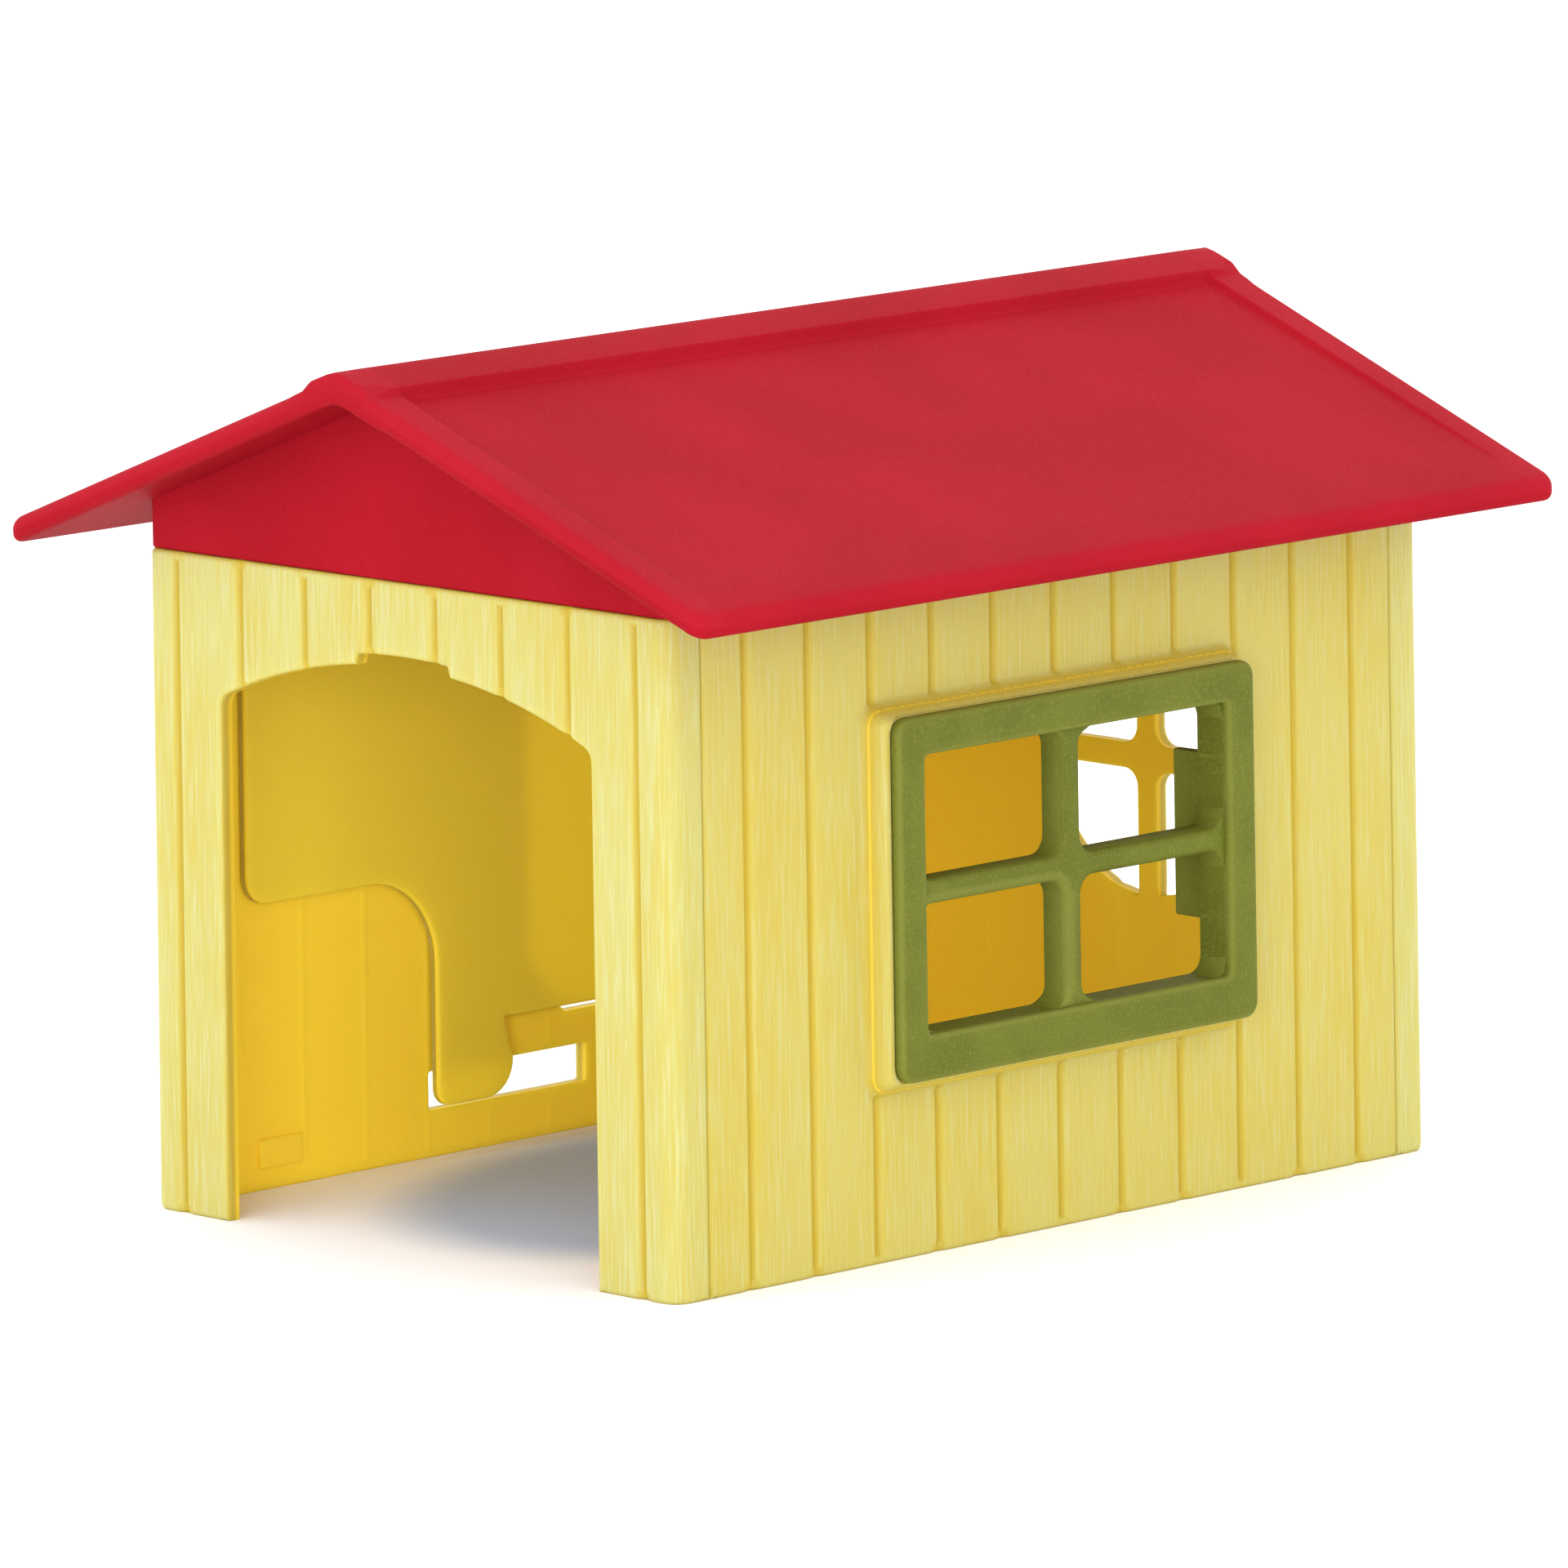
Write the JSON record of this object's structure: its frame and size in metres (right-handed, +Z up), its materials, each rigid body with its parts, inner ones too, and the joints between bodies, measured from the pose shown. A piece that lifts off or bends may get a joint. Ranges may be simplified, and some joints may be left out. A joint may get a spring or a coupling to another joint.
{
  "type": "plastic playhouse",
  "caption": "Small moulded plastic playhouse for toy figures: plank walls with an arched doorway and windows, and a gable roof that lifts off.",
  "frame": {"origin": "on the floor, at the middle of the four walls and under the middle of the roof", "axes": "+Z up; the doorway faces -Y; the window with the green frame faces +X; the ridge runs along Y"},
  "size_m": [0.1314, 0.1632, 0.1176],
  "materials": {
    "yellow_plastic": "matte moulded plastic with a fine upright wood grain",
    "green_plastic": "matte moulded plastic with a fine sand texture",
    "red_plastic": "matte moulded plastic with a fine sand texture"
  },
  "bodies": {
    "walls": {"front_wall": "yellow_plastic", "back_wall": "yellow_plastic", "right_wall": "yellow_plastic", "left_wall": "yellow_plastic", "inner_board": "yellow_plastic", "window_frame": "green_plastic"},
    "roof": {"roof": "red_plastic"}
  },
  "joints": [
    {"name": "roof_lift", "type": "slide", "parent": "walls", "child": "roof", "axis": [0, 0, 1], "range_m": [0, 0.06]}
  ]
}
